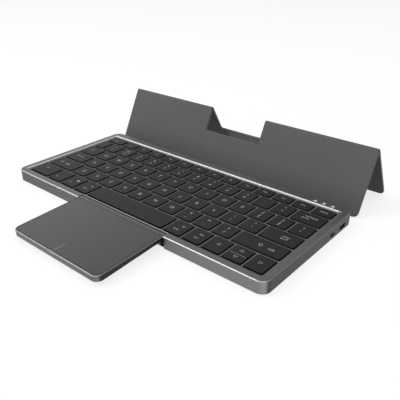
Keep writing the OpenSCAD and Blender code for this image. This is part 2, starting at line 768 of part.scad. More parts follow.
// Everything above the bevel plane that runs along the front and both sides
module pad_edges() {
    depth = pad_l + barrel_r + 10;
    difference() {
        translate([0, 0, pad_top / 2 + cut])
            cube([pad_w + 4, 2 * depth, pad_top + 4], center = true);
        translate([0, depth / 2 - pad_l, pad_top - pad_bevel - 20])
            bevel_slab(pad_w, depth, 20 + pad_bevel, pad_r, pad_bevel);
    }
}

module touch_plan(grow) {
    front = pad_rim + touch_gap - grow - pad_l;
    back = -touch_back - touch_gap + grow;
    width = pad_w - 2 * (pad_rim + touch_gap - grow);
    translate([0, (front + back) / 2]) {
        round_rect(width, back - front, touch_r + grow);
        translate([0, (back - front) / 4]) square([width, (back - front) / 2], center = true);
    }
}

module touchpad_frame() {
    color(case_grey) at_pad() difference() {
        intersection() {
            rotate([90, 0, 90]) linear_extrude(pad_w, center = true) pad_profile();
            translate([0, 0, -20]) linear_extrude(40) pad_plan();
        }
        pad_edges();
        translate([0, 0, pocket_floor]) linear_extrude(pad_top) touch_plan(touch_gap);
        for (side = [-1, 1]) translate([side * (pad_w / 2 - pin_in / 2), 0, 0])
            rotate([0, 90, 0]) cylinder(h = pin_in + 2 * pad_side_gap + 0.4, r = pin_r + pin_play, center = true);
        translate([0, -pad_l, pad_top]) rotate([finger_slope, 0, 0]) translate([0, 0, finger_r - finger_cut])
            rotate([90, 0, 0]) cylinder(h = 6 * finger_cut, r = finger_r, center = true);
    }
}

module click_switch() {
    color(steel) at_pad() translate([0, click_w - pad_l, pocket_floor]) {
        translate([-click_w / 2, -click_w / 2, 0]) cube([click_w, click_w, click_h / 2]);
        cylinder(h = click_h, r = click_w / 4);
    }
}

module touch_surface() {
    color(deep_grey) at_pad() translate([0, 0, pad_top - touch_t]) linear_extrude(touch_t) touch_plan(0);
}

module touch_board() {
    color(board_green) at_pad() translate([0, 0, pad_top - touch_t - touch_board_t])
        linear_extrude(touch_board_t) touch_plan(-0.4);
}

// ---- Folding cover, each panel drawn flat and then stood up ----

// Plan of a panel: length along +Y from its fold, cut away by the notch at
// one end, with its free corners rounded
module panel_plan(length, notch, free_r) {
    difference() {
        union() {
            translate([-cover_w / 2, free_r]) square([cover_w, length - free_r]);
            translate([free_r - cover_w / 2, 0]) square([cover_w - 2 * free_r, 2 * free_r]);
            for (x = [-1, 1]) translate([x * (cover_w / 2 - free_r), free_r]) circle(free_r);
        }
        translate([notch_x - notch_w / 2, length - notch]) square([notch_w, notch + cut]);
    }
}

// Front panel's frame: origin on the lower fold line, +Y up the panel,
// +Z from the face towards the back
module at_front_panel() {
    placed() translate([0, fold_y, fold_z]) rotate([front_angle, 0, 0]) mirror([0, 0, 1]) children();
}

// Rear panel's frame: origin on the ridge line, +Y down the panel,
// +Z from the inside towards the outer face
module at_rear_panel() {
    placed() translate([0, ridge_y, ridge_z]) rotate([-rear_angle, 0, 0]) children();
}

module board_pocket(length, notch) {
    difference() {
        translate([0, (length - ridge_set) / 2])
            square([cover_w - 2 * panel_seam, length - ridge_set - 2 * panel_seam], center = true);
        translate([notch_x - notch_w / 2 - panel_seam, length - notch - panel_seam])
            square([notch_w + 2 * panel_seam, notch + cut]);
    }
}

module front_panel_skin() {
    color(leather_grey) at_front_panel() translate([0, 0, fold_offset]) difference() {
        linear_extrude(panel_t) difference() {
            panel_plan(front_panel_l, notch_front, cover_r);
            translate([-cover_w, front_panel_l - ridge_set]) square([2 * cover_w, 2 * ridge_set]);
        }
        translate([0, 0, (panel_t - panel_board_t) / 2])
            linear_extrude(panel_board_t) board_pocket(front_panel_l, notch_front);
    }
}

module front_panel_board() {
    color(board_brown) at_front_panel() translate([0, 0, fold_offset + (panel_t - panel_board_t) / 2])
        linear_extrude(panel_board_t) board_pocket(front_panel_l, notch_front);
}

// Width of the cover on each side of the cut-out
function wing_w(side) = (cover_w - notch_w) / 2 - side * notch_x;

module ridge_bead() {
    color(leather_grey) at_front_panel() for (side = [-1, 1])
        translate([side * (cover_w - wing_w(side)) / 2, front_panel_l, fold_offset + panel_t / 2]) {
            rotate([0, 90, 0]) cylinder(h = wing_w(side), r = bead_r, center = true);
            translate([0, -ridge_set / 2, 0]) cube([wing_w(side), ridge_set, fold_web_t], center = true);
        }
}

module spine_bead() {
    bead_w = case_w - 2 * case_r;
    color(leather_grey) at_front_panel() {
        rotate([0, 90, 0]) cylinder(h = bead_w, r = bead_r, center = true);
        translate([-bead_w / 2, 0, 0]) cube([bead_w, fold_web_t, fold_offset]);
    }
}

module cover_spine() {
    color(leather_grey) placed()
        span([case_r - case_w / 2, case_back, case_z + 0.4], [case_w / 2 - case_r, case_back + spine_t, deck_z - case_bevel]);
}

module rear_plan() {
    difference() {
        translate([0, rear_panel_l]) mirror([0, 1]) panel_plan(rear_panel_l, notch_rear, cover_r);
        translate([-cover_w, -ridge_set]) square([2 * cover_w, 2 * ridge_set]);
    }
}

module rear_pocket() {
    translate([0, rear_panel_l]) mirror([0, 1]) board_pocket(rear_panel_l, notch_rear);
}

module rear_panel_skin() {
    tongue = ridge_set - bead_r - bead_gap;
    color(leather_grey) at_rear_panel() {
        difference() {
            translate([0, 0, -panel_t / 2]) linear_extrude(panel_t) rear_plan();
            translate([0, 0, -panel_board_t / 2]) linear_extrude(panel_board_t) rear_pocket();
            cover_magnet_spots(0.1);
        }
        for (side = [-1, 1]) translate([side * (cover_w - wing_w(side)) / 2, ridge_set - tongue / 2, 0])
            cube([wing_w(side), tongue + 0.02, fold_web_t], center = true);
    }
}

cover_magnet_y = rear_panel_l - magnet_reach;

module cover_magnet_spots(grow) {
    for (side = [-1, 1]) translate([side * magnet_x, cover_magnet_y, 0])
        cube([magnet_w + grow, magnet_l + grow, panel_board_t + grow], center = true);
}

module rear_panel_board() {
    color(board_brown) at_rear_panel() difference() {
        translate([0, 0, -panel_board_t / 2]) linear_extrude(panel_board_t) rear_pocket();
        cover_magnet_spots(0.1);
    }
}

module cover_magnets() {
    color(steel) at_rear_panel() cover_magnet_spots(0);
}

top_case();
bottom_cover();
key_frame();
key_plate();
switch_membrane();
rubber_domes();
scissor_frames();
main_board();
battery();
battery_flex();
touchpad_flex();
usb_c_port();
power_switch_body();
power_switch_knob();
indicator_lenses();
rubber_feet();
case_screws();
deck_magnets();
touchpad_hinge_pins();
touchpad_frame();
click_switch();
touch_surface();
touch_board();
cover_spine();
spine_bead();
front_panel_skin();
front_panel_board();
ridge_bead();
rear_panel_skin();
rear_panel_board();
cover_magnets();
key(0, 0);  // key_escape
key(0, 13);  // key_delete
key(1, 0);  // key_grave
key(1, 13);  // key_backspace
key(2, 0);  // key_tab
key(2, 13);  // key_backslash
key(3, 0);  // key_caps
key(3, 12);  // key_enter
key(4, 0);  // key_shift_left
key(4, 11);  // key_shift_right
key(5, 0);  // key_ctrl_left
key(5, 1);  // key_fn
key(5, 2);  // key_system
key(5, 3);  // key_alt_left
key(5, 4);  // key_space
key(5, 5);  // key_alt_right
key(5, 6);  // key_ctrl_right
key(5, 7);  // key_left
half_key(1);  // key_up
half_key(-1);  // key_down
key(5, 9);  // key_right
key_run(0, 1, 12);  // function_keys
key_run(1, 1, 12);  // number_keys
key_run(2, 1, 12);  // keys_row_q
key_run(3, 1, 11);  // keys_row_a
key_run(4, 1, 10);  // keys_row_z
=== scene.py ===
import json
import math

import bmesh
import bpy
from mathutils import Matrix, Vector


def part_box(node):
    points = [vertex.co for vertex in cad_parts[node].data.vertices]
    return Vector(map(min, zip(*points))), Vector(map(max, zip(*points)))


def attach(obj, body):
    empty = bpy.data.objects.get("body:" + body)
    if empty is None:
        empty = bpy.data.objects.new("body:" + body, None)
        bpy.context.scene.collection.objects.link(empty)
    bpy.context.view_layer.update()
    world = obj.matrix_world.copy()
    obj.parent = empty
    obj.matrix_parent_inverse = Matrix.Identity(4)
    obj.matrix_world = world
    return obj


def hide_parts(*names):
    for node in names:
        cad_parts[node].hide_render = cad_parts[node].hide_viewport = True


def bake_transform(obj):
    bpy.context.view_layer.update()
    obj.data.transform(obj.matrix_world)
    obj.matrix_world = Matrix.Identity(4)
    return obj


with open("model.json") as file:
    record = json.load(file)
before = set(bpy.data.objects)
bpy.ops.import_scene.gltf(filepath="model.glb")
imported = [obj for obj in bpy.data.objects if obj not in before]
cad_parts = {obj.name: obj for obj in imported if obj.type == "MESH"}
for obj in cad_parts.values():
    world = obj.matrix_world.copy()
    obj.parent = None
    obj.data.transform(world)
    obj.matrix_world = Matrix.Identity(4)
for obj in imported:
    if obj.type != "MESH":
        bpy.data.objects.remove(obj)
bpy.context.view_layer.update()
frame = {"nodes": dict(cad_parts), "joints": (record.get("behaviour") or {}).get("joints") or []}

# Folding keyboard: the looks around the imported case, keys, touchpad and cover.
# Lengths are in millimetres and become metres where a piece is placed.
MM = 0.001
NODES = frame["nodes"]
JOINTS = {joint["name"]: joint for joint in frame["joints"]}


# ---- Sizes that are read from the frame ----

def corners(node):
    """Lowest and highest corner of a node, in millimetres."""
    low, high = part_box(node)
    return low / MM, high / MM


def axis_point(joint):
    """The y and z of a joint's axis, in millimetres."""
    _, y, z = JOINTS[joint]["pos_m"]
    return y / MM, z / MM


CASE_LOW, CASE_HIGH = corners("top_case")
CASE_MIDDLE = (CASE_LOW.y + CASE_HIGH.y) / 2
DECK = CASE_HIGH.z
CAP_TOP = corners("function_keys")[1].z
FLANGE = 0.8  # the key frame reaches this far under the deck
WELL_LOW, WELL_HIGH = corners("key_frame")
WELL_HALF = WELL_HIGH.x - FLANGE
WELL_FRONT, WELL_BACK = WELL_LOW.y, WELL_HIGH.y - FLANGE
PAD_HIGH = corners("touchpad_frame")[1]
BAY_HALF = PAD_HIGH.x + 0.3
FOLD_AXIS = axis_point("cover_fold")
RIDGE_AXIS = axis_point("ridge_fold")
FRONT_SLOPE = math.radians(180 - JOINTS["cover_fold"]["range_deg"][1])
REAR_SLOPE = math.radians(JOINTS["ridge_fold"]["range_deg"][1]) - FRONT_SLOPE

COVER_W = corners("rear_panel_skin")[1].x * 2
NOTCH_W = 56.0  # the cut-out across the ridge, and how far right of the middle it lies
NOTCH_X = -1.5
PANEL_T = 2.4
RIDGE_SET = 2.6  # the panels end this far from the ridge
FRONT_L = 50.0  # from the fold line to the ridge, and from the ridge to the foot
REAR_L = (RIDGE_AXIS[1] - PANEL_T / 2 * math.cos(REAR_SLOPE)) / math.sin(REAR_SLOPE)
FRONT_NOTCH = 20.0  # the cut-out's depth in each panel, along the panel
REAR_NOTCH = 25.6
FOLD_OFFSET = 5.2  # from the fold line to the front panel's upper face, square to the panel
FRONT_FOOT = -1.7
REAR_LIFT = 1.0
FOOT_R = 4.0
NOTCH_R = 0.8
EDGE_R = 0.62
MITRE = 1.5


# ---- Camera ----

def place_camera(azimuth, elevation, place, lens):
    """A camera with no roll, looking level with the azimuth and down by the elevation."""
    across, up = math.radians(azimuth), math.radians(elevation)
    towards = Vector((math.sin(across) * math.cos(up), -math.cos(across) * math.cos(up), math.sin(up)))
    right = Vector((0, 0, 1)).cross(towards).normalized()
    camera = bpy.data.objects.new("camera", bpy.data.cameras.new("camera"))
    camera.data.lens = lens
    camera.data.sensor_width = 36
    camera.data.clip_start = 0.01
    camera.matrix_world = Matrix.Translation(Vector(place) * MM) @ Matrix(
        (right, towards.cross(right), towards)).transposed().to_4x4()
    bpy.context.scene.collection.objects.link(camera)
    bpy.context.scene.camera = camera


place_camera(azimuth=40.074, elevation=27.706, place=(247.22, -260.12 + CASE_MIDDLE, 187.29), lens=46.155)


# ---- Finishes ----

class Value:
    """A number or colour that changes over a surface, with arithmetic that adds the nodes for it."""

    def __init__(self, finish, socket):
        self.finish = finish
        self.socket = socket

    def maths(self, operation, *others):
        return self.finish.node("ShaderNodeMath", {"operation": operation}, dict(enumerate(others)))

    def __add__(self, other):
        return self.maths("ADD", self, other)

    def __mul__(self, other):
        return self.maths("MULTIPLY", self, other)

    def __sub__(self, other):
        return self.maths("SUBTRACT", self, other)

    def __rsub__(self, other):
        return self.maths("SUBTRACT", other, self)

    __radd__ = __add__
    __rmul__ = __mul__

    def over(self, edge, soft=0.00005):
        """0 below the edge and 1 above it, with a soft step between them."""
        return self.finish.node("ShaderNodeMapRange", {"interpolation_type": "SMOOTHSTEP"}, {
            "Value": self, "From Min": edge - soft, "From Max": edge + soft, "To Min": 0.0, "To Max": 1.0})

    def between(self, low, high, soft=0.00005):
        return self.over(low, soft) * (1 - self.over(high, soft))

    def size(self):
        return self.maths("ABSOLUTE", self)


class Finish:
    """One material, made of nodes around a Principled shader."""

    def __init__(self, name, colour, roughness=0.5, metallic=0.0, **fixed):
        self.material = bpy.data.materials.new(name)
        self.material.use_nodes = True
        self.tree = self.material.node_tree
        self.shader = self.tree.nodes["Principled BSDF"]
        self.set("Base Color", (*colour, 1.0))
        self.set("Roughness", roughness)
        self.set("Metallic", metallic)
        for socket, value in fixed.items():
            self.set(socket.replace("_", " "), value)

    def node(self, kind, settings=None, inputs=None, output=0):
        made = self.tree.nodes.new(kind)
        for key, value in (settings or {}).items():
            setattr(made, key, value)
        for key, value in (inputs or {}).items():
            self.feed(made.inputs[key], value)
        return Value(self, made.outputs[output])

    def feed(self, socket, value):
        if isinstance(value, Value):
            self.tree.links.new(value.socket, socket)
        else:
            socket.default_value = value

    def set(self, socket, value):
        self.feed(self.shader.inputs[socket], value)

    def place(self):
        return self.node("ShaderNodeTexCoord", output="Object")

    def axes(self):
        split = self.tree.nodes.new("ShaderNodeSeparateXYZ")
        self.tree.links.new(self.place().socket, split.inputs[0])
        return [Value(self, out) for out in split.outputs]

    def noise(self, per_metre, detail=2.0, rough=0.5):
        return self.node("ShaderNodeTexNoise", {"noise_dimensions": "3D"}, {
            "Vector": self.place(), "Scale": per_metre, "Detail": detail, "Roughness": rough})

    def cells(self, per_metre, feature="F1"):
        return self.node("ShaderNodeTexVoronoi", {"feature": feature}, {
            "Vector": self.place(), "Scale": per_metre}, output="Distance")

    def facing(self):
        """The way the surface looks, as shares of the object's own axes."""
        split = self.tree.nodes.new("ShaderNodeSeparateXYZ")
        self.tree.links.new(self.node("ShaderNodeTexCoord", output="Normal").socket, split.inputs[0])
        return [Value(self, out) for out in split.outputs]

    def blend(self, share, under, over):
        return self.node("ShaderNodeMix", {"data_type": "RGBA"}, {
            0: share, 6: (*under, 1.0) if isinstance(under, tuple) else under,
            7: (*over, 1.0) if isinstance(over, tuple) else over}, output=2)

    def bump(self, height, depth, strength=1.0):
        self.set("Normal", self.node("ShaderNodeBump", None, {
            "Height": height, "Distance": depth, "Strength": strength}, output="Normal"))

    def on(self, *pieces):
        for piece in pieces:
            piece.data.materials.clear()
            piece.data.materials.append(self.material)


def grey(level):
    """A neutral colour from its level on the screen, 0 to 255."""
    share = level / 255
    linear = share / 12.92 if share <= 0.04045 else ((share + 0.055) / 1.055) ** 2.4
    return linear, linear, linear


METALLIC = 0.85


def anodised(name, levels, bevel_highlight_level, span, rim=None):
    """Bead-blasted, dark-anodised aluminium, with light and shade painted into its colour.

    The levels are painted light and shade: those of the top at the left and right, of the front wall at
    the left and right, of the right wall and of the corner between them. The bevels get a painted
    highlight, dimmed along the right side as painted shade.
    """
    finish = Finish(name, grey(levels[0]), roughness=0.38, metallic=METALLIC)
    side, ahead, up = finish.axes()
    to_right, to_back, lift = finish.facing()
    # Painted light and shade: the tone runs from left to right, and the front wall, the right wall (painted shade)
    # and the corner (painted highlight) get their own levels.
    across = side * (0.5 / (span * MM)) + 0.5
    front = (1 - to_back).over(1.5, 0.2)
    right = to_right.over(0.85, 0.14)
    corner = to_right.over(0.4, 0.35) * (1 - to_right.over(0.85, 0.14)) * (1 - to_back).over(1.2, 0.2)
    plain = finish.blend(across, grey(levels[0]), grey(levels[1]))
    plain = finish.blend(front, plain, finish.blend(across, grey(levels[2]), grey(levels[3])))
    plain = finish.blend(right, plain, grey(levels[4]))
    plain = finish.blend(corner, plain, grey(levels[5]))
    plain = finish.blend(finish.noise(60, 3) * 0.05, plain, grey(levels[0] + 40))
    # Painted highlight on the bevels, dimmed along the right side as painted shade.
    cut = lift.between(0.35, 0.92, 0.04)
    cut = cut * (1 - right_edge(to_right, side, span) * 0.75)
    metal = finish.node("ShaderNodeValue")
    metal.socket.default_value = METALLIC
    if rim:
        plain, cut, metal = rim(finish, plain, cut, metal)
    finish.set("Base Color", finish.blend(cut, plain, grey(bevel_highlight_level)))
    finish.set("Metallic", metal)
    finish.set("Roughness", 0.36 + finish.noise(900, 2) * 0.06 + cut * 0.06)
    finish.bump(finish.noise(5200, 2, 0.6), 0.00002, 0.5)
    return finish


def right_edge(to_right, side, span):
    """1 on the bevel along the right side, which catches less light."""
    return to_right.over(0.5, 0.2) * side.over((span - 1.5) * MM, 0.0003)


def well_rim(finish, plain, cut, metal):
    """Painted highlights on the key well's walls at the left and rear, and on the lip beside the touchpad bay."""
    side, ahead, up = finish.axes()
    inside = (1 - side.size().over((WELL_HALF + 0.4) * MM)) * (1 - side.over((WELL_HALF - 2.5) * MM, 0.001))
    inside = inside * ahead.between((WELL_FRONT - 0.4) * MM, (WELL_BACK + 0.4) * MM)
    left = (side * -1).over((WELL_HALF - 0.5) * MM)
    rear = ahead.over((WELL_BACK - 0.5) * MM)
    wall = inside * left.maths("MAXIMUM", left, rear) * up.over((CAP_TOP - 1.5) * MM)
    lip = (1 - side.size().over(BAY_HALF * MM)) * ahead.between(
        (WELL_FRONT - 0.9) * MM, (WELL_FRONT + 0.2) * MM) * up.over((DECK - 0.5) * MM)
    # Painted highlights: the walls, paler at the rear, and the lip as a bright line.
    plain = finish.blend(wall, plain, finish.blend(rear, grey(220), grey(238)))
    plain = finish.blend(lip, plain, grey(185))
    bright = wall.maths("MAXIMUM", wall, lip)
    return plain, cut * (1 - inside), metal * (1 - bright * 0.8)


def pad_rear_edge(finish, plain, cut, metal):
    """The touchpad frame's rear edge, painted dark as shade where it rounds off into the bay."""
    _, ahead, up = finish.axes()
    # Painted shade along the frame's rear edge.
    shade = up.over((PAD_HIGH.z - 0.6) * MM) * ahead.over((PAD_HIGH.y - 1.2) * MM)
    return finish.blend(shade, plain, grey(30)), cut, metal


def leather(name, level, inner_shade_level):
    """Fine-grained synthetic leather, with painted shade on the tent's inner sides and towards the bottom.

    The inner sides are painted paler below the cut-out on the rear panel, as light that falls through it.
    """
    finish = Finish(name, grey(level), roughness=0.62)
    side, ahead, up = finish.axes()
    _, _, lift = finish.facing()
    grain = finish.cells(1500, "SMOOTH_F1")
    creases = finish.noise(500, 4, 0.6)
    outer = finish.blend(finish.noise(35, 3) * 0.6 + grain * 0.4, grey(level - 5), grey(level + 4))
    # Painted shade, darker towards the bottom of the panels.
    outer = finish.blend((1 - up.over(0.015, 0.006)) * 0.4, outer, grey(level - 26))
    inner = (1 - lift).over(1.3, 0.1)
    floor_z = RIDGE_AXIS[1] - REAR_NOTCH * math.sin(REAR_SLOPE)
    # Painted light on the rear panel's inner side, below the cut-out.
    lit = side.between(-0.022, 0.03, 0.004) * up.between(
        (floor_z - 11) * MM, (floor_z + 3) * MM, 0.003) * ahead.over(RIDGE_AXIS[0] * MM)
    # The inner sides are painted dark as shade, with the painted light on them.
    inner_tone = finish.blend(lit, grey(inner_shade_level), grey(level + 42))
    finish.set("Base Color", finish.blend(inner, outer, inner_tone))
    finish.set("Roughness", 0.55 + grain * 0.18)
    finish.bump(grain * 0.7 + creases * 0.3, 0.00012, 0.6)
    return finish


def matt_plastic(name, level, roughness=0.55, grain=0.5):
    finish = Finish(name, grey(level), roughness=roughness)
    finish.set("Base Color", finish.blend(finish.noise(180, 3), grey(level - 2), grey(level + 2)))
    finish.bump(finish.noise(6500, 2, 0.6), 0.00002, grain)
    return finish


def key_web(name, level):
    """The light web between the keys, in shadow along the well's front wall."""
    finish = Finish(name, grey(level), roughness=0.55)
    _, ahead, _ = finish.axes()
    plain = finish.blend(finish.noise(180, 3), grey(level - 2), grey(level + 2))
    finish.set("Base Color", finish.blend(ahead.over((WELL_FRONT + 2) * MM, 0.0004), grey(14), plain))
    finish.bump(finish.noise(6500, 2, 0.6), 0.00002, 0.5)
    return finish


def keycap_plastic(name, left_level, right_level, side_shade_level):
    """Matt caps with painted shade: the tops darker towards the right and the sides near black; a little finger
    polish in the middle.
    """
    finish = Finish(name, grey(left_level), roughness=0.5, Specular_IOR_Level=0.22)
    side, _, _ = finish.axes()
    _, _, lift = finish.facing()
    top = lift.over(0.9, 0.05)
    worn = finish.noise(90, 3)
    # Painted shade: the tops darker towards the right, the sides near black.
    tone = finish.blend(side * 4.2 + 0.5, grey(left_level), grey(right_level))
    finish.set("Base Color", finish.blend(top, grey(side_shade_level), finish.blend(worn * 0.05, tone, grey(90))))
    finish.set("Roughness", 0.46 + worn * 0.12)
    finish.bump(finish.noise(7000, 2, 0.6), 0.00002, 0.5)
    return finish


def stamped_steel(name, level=150):
    finish = Finish(name, grey(level), roughness=0.35, metallic=0.9)
    finish.set("Roughness", 0.3 + finish.noise(700, 3) * 0.15)
    finish.bump(finish.noise(3000, 2), 0.00001, 0.3)
    return finish


def circuit_board(name):
    """Green solder mask with slightly raised tracks."""
    finish = Finish(name, (0.012, 0.07, 0.035), roughness=0.32)
    tracks = finish.cells(260, "DISTANCE_TO_EDGE").over(0.06, 0.03)
    finish.set("Base Color", finish.blend(tracks, (0.02, 0.12, 0.06), (0.01, 0.06, 0.03)))
    finish.bump(1 - tracks, 0.00003, 0.5)
    return finish


def touch_glass(name, level, right_level, mark_level):
    """Finely etched touch surface, painted darker towards the right as shade, with a short printed line between its
    two buttons.
    """
    finish = Finish(name, grey(level), roughness=0.36)
    side, ahead, _ = finish.axes()
    front = corners("touch_surface")[0].y
    mark = (1 - side.size().over(0.00016, 0.00004)) * ahead.between((front + 1.2) * MM, (front + 9.4) * MM, 0.0001)
    # Painted shade, darker towards the right.
    plain = finish.blend(side * 11 + 0.5, grey(level), grey(right_level))
    finish.set("Base Color", finish.blend(mark, plain, grey(mark_level)))
    finish.set("Roughness", 0.34 + finish.noise(2500, 2) * 0.06)
    finish.bump(finish.noise(8000, 2), 0.00001, 0.3)
    return finish


# Many of these levels are painted light and shade: the metal's levels, the cover's inner level and the tones of the
# caps and the touch surface.
case_metal = anodised("case_metal", (136, 106, 86, 122, 46, 138), 176, CASE_HIGH.x, well_rim)
pad_metal = anodised("pad_metal", (120, 104, 98, 98, 32, 116), 164, PAD_HIGH.x, pad_rear_edge)
cover_leather = leather("cover_leather", 76, 20)
cap_plastic = keycap_plastic("cap_plastic", 45, 22, 2)
web_plastic = key_web("web_plastic", 80)
touch_face = touch_glass("touch_face", 80, 62, 150)
black_plastic = matt_plastic("black_plastic", 5, roughness=0.75)
foot_rubber = matt_plastic("foot_rubber", 34, roughness=0.8, grain=0.8)
dome_rubber = matt_plastic("dome_rubber", 190, roughness=0.7)
film = matt_plastic("film", 46, roughness=0.35, grain=0.2)
white_plastic = matt_plastic("white_plastic", 214, roughness=0.4)
grey_board = matt_plastic("grey_board", 120, roughness=0.85, grain=1.0)
cell_foil = stamped_steel("cell_foil", 176)
steel = stamped_steel("steel")
socket_steel = stamped_steel("socket_steel", 52)
green_board = circuit_board("green_board")
amber_film = matt_plastic("amber_film", 120, roughness=0.3)
amber_film.set("Base Color", amber_film.blend(amber_film.noise(300, 2), (0.42, 0.17, 0.04), (0.5, 0.22, 0.06)))
lens_plastic = matt_plastic("lens_plastic", 215, roughness=0.25, grain=0.2)
legend_ink = matt_plastic("legend_ink", 172, roughness=0.6, grain=0.2)
dim_ink = matt_plastic("dim_ink", 150, roughness=0.6, grain=0.2)

case_metal.on(NODES["top_case"], NODES["bottom_cover"])
pad_metal.on(NODES["touchpad_frame"])
touch_face.on(NODES["touch_surface"])
web_plastic.on(NODES["key_frame"])
steel.on(*(NODES[name] for name in (
    "key_plate", "case_screws", "deck_magnets", "touchpad_hinge_pins", "click_switch", "cover_magnets")))
socket_steel.on(NODES["usb_c_port"])
film.on(NODES["switch_membrane"])
dome_rubber.on(NODES["rubber_domes"])
white_plastic.on(NODES["scissor_frames"])
green_board.on(NODES["main_board"], NODES["touch_board"])
cell_foil.on(NODES["battery"])
amber_film.on(NODES["battery_flex"], NODES["touchpad_flex"])
black_plastic.on(NODES["power_switch_body"], NODES["power_switch_knob"])
lens_plastic.on(NODES["indicator_lenses"])
foot_rubber.on(NODES["rubber_feet"])
grey_board.on(NODES["front_panel_board"], NODES["rear_panel_board"])
KEY_NODES = [name for name in NODES if name.startswith("key") and name not in ("key_frame", "key_plate")]
KEY_NODES += ["function_keys", "number_keys"]
cap_plastic.on(*(NODES[name] for name in KEY_NODES))


# ---- Making pieces ----

def finished(name, mesh, finish):
    """Turns a bmesh in millimetres into a piece of the scene."""
    bmesh.ops.scale(mesh, vec=(MM, MM, MM), verts=mesh.verts)
    bmesh.ops.remove_doubles(mesh, verts=mesh.verts, dist=1e-7)
    bmesh.ops.recalc_face_normals(mesh, faces=mesh.faces)
    data = bpy.data.meshes.new(name)
    mesh.to_mesh(data)
    mesh.free()
    piece = bpy.data.objects.new(name, data)
    bpy.context.scene.collection.objects.link(piece)
    finish.on(piece)
    return piece


LARGE_FACE = 1e-4  # square metres


def soften(piece, angle=40):
    """Smooth shading across slight bends, with the large faces left flat."""
    for polygon in piece.data.polygons:
        polygon.use_smooth = polygon.area < LARGE_FACE
    edges = bmesh.new()
    edges.from_mesh(piece.data)
    for edge in edges.edges:
        edge.smooth = len(edge.link_faces) == 2 and edge.calc_face_angle() < math.radians(angle)
    edges.to_mesh(piece.data)
    edges.free()


def flat_face(mesh, outline):
    """One flat face through a few corners, in the XY plane."""
    return mesh.faces.new([mesh.verts.new((x, y, 0)) for x, y in outline])


def round_corners(mesh, radii):
    """Rounds a flat face's corners, each by the radius at its place."""
    for place, radius in radii.items():
        near = min(mesh.verts, key=lambda v: (v.co.xy - Vector(place)).length)
        bmesh.ops.bevel(mesh, geom=[near], offset=radius, offset_type="OFFSET", affect="VERTICES",
                        segments=6, profile=0.5, material=-1)


# ---- Cover ----

def on_front_panel():
    """From (across, up the panel, back from the fold line) to the frame."""
    c, s = math.cos(FRONT_SLOPE), math.sin(FRONT_SLOPE)
    return Matrix(((1, 0, 0, 0), (0, c, s, FOLD_AXIS[0]), (0, s, -c, FOLD_AXIS[1]), (0, 0, 0, 1)))


def on_rear_panel():
    """From (across, down the panel, out from its middle) to the frame."""
    c, s = math.cos(REAR_SLOPE), math.sin(REAR_SLOPE)
    return Matrix(((1, 0, 0, 0), (0, c, s, RIDGE_AXIS[0]), (0, -s, c, RIDGE_AXIS[1]), (0, 0, 0, 1)))


def leather_panel(name, foot, end, notch_floor, lift, outer, placing, body, node):
    """A board wrapped in leather: rounded edges, the cut-out, and an end that is mitred towards the ridge."""
    half, left, right = COVER_W / 2, NOTCH_X - NOTCH_W / 2, NOTCH_X + NOTCH_W / 2
    mesh = bmesh.new()
    outline = [(-half, foot), (half, foot), (half, end), (right, end), (right, notch_floor),
               (left, notch_floor), (left, end), (-half, end)]
    flat_face(mesh, outline)
    round_corners(mesh, {(-half, foot): FOOT_R, (half, foot): FOOT_R,
                         (right, notch_floor): NOTCH_R, (left, notch_floor): NOTCH_R})
    grown = bmesh.ops.extrude_face_region(mesh, geom=list(mesh.faces))
    top = [g for g in grown["geom"] if isinstance(g, bmesh.types.BMFace)]
    bmesh.ops.translate(mesh, vec=(0, 0, PANEL_T), verts=[v for f in top for v in f.verts])
    ridge_side = [v for v in mesh.verts if abs(v.co.y - end) < 0.01 and abs(v.co.z - outer) < 0.01]
    bmesh.ops.translate(mesh, vec=(0, math.copysign(MITRE, end - foot), 0), verts=ridge_side)
    flats = [f for f in mesh.faces if abs(f.normal.z) >= 0.9]
    rims = {e for f in flats for e in f.edges if any(abs(v.co.y - end) > MITRE + 0.01 for v in e.verts)}
    bmesh.ops.bevel(mesh, geom=list(rims), offset=EDGE_R, offset_type="OFFSET", affect="EDGES",
                    segments=3, profile=0.5, material=-1)
    bmesh.ops.translate(mesh, vec=(0, 0, lift), verts=mesh.verts)
    bmesh.ops.transform(mesh, matrix=placing, verts=mesh.verts)
    piece = finished(name, mesh, cover_leather)
    soften(piece)
    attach(piece, body)
    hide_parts(node)


leather_panel("front_panel_leather", FRONT_FOOT, FRONT_L - RIDGE_SET, FRONT_L - FRONT_NOTCH, FOLD_OFFSET, 0.0,
              on_front_panel(), "cover_front", "front_panel_skin")
leather_panel("rear_panel_leather", REAR_L - REAR_LIFT, RIDGE_SET, REAR_NOTCH, -PANEL_T / 2, PANEL_T,
              on_rear_panel(), "cover_rear", "rear_panel_skin")


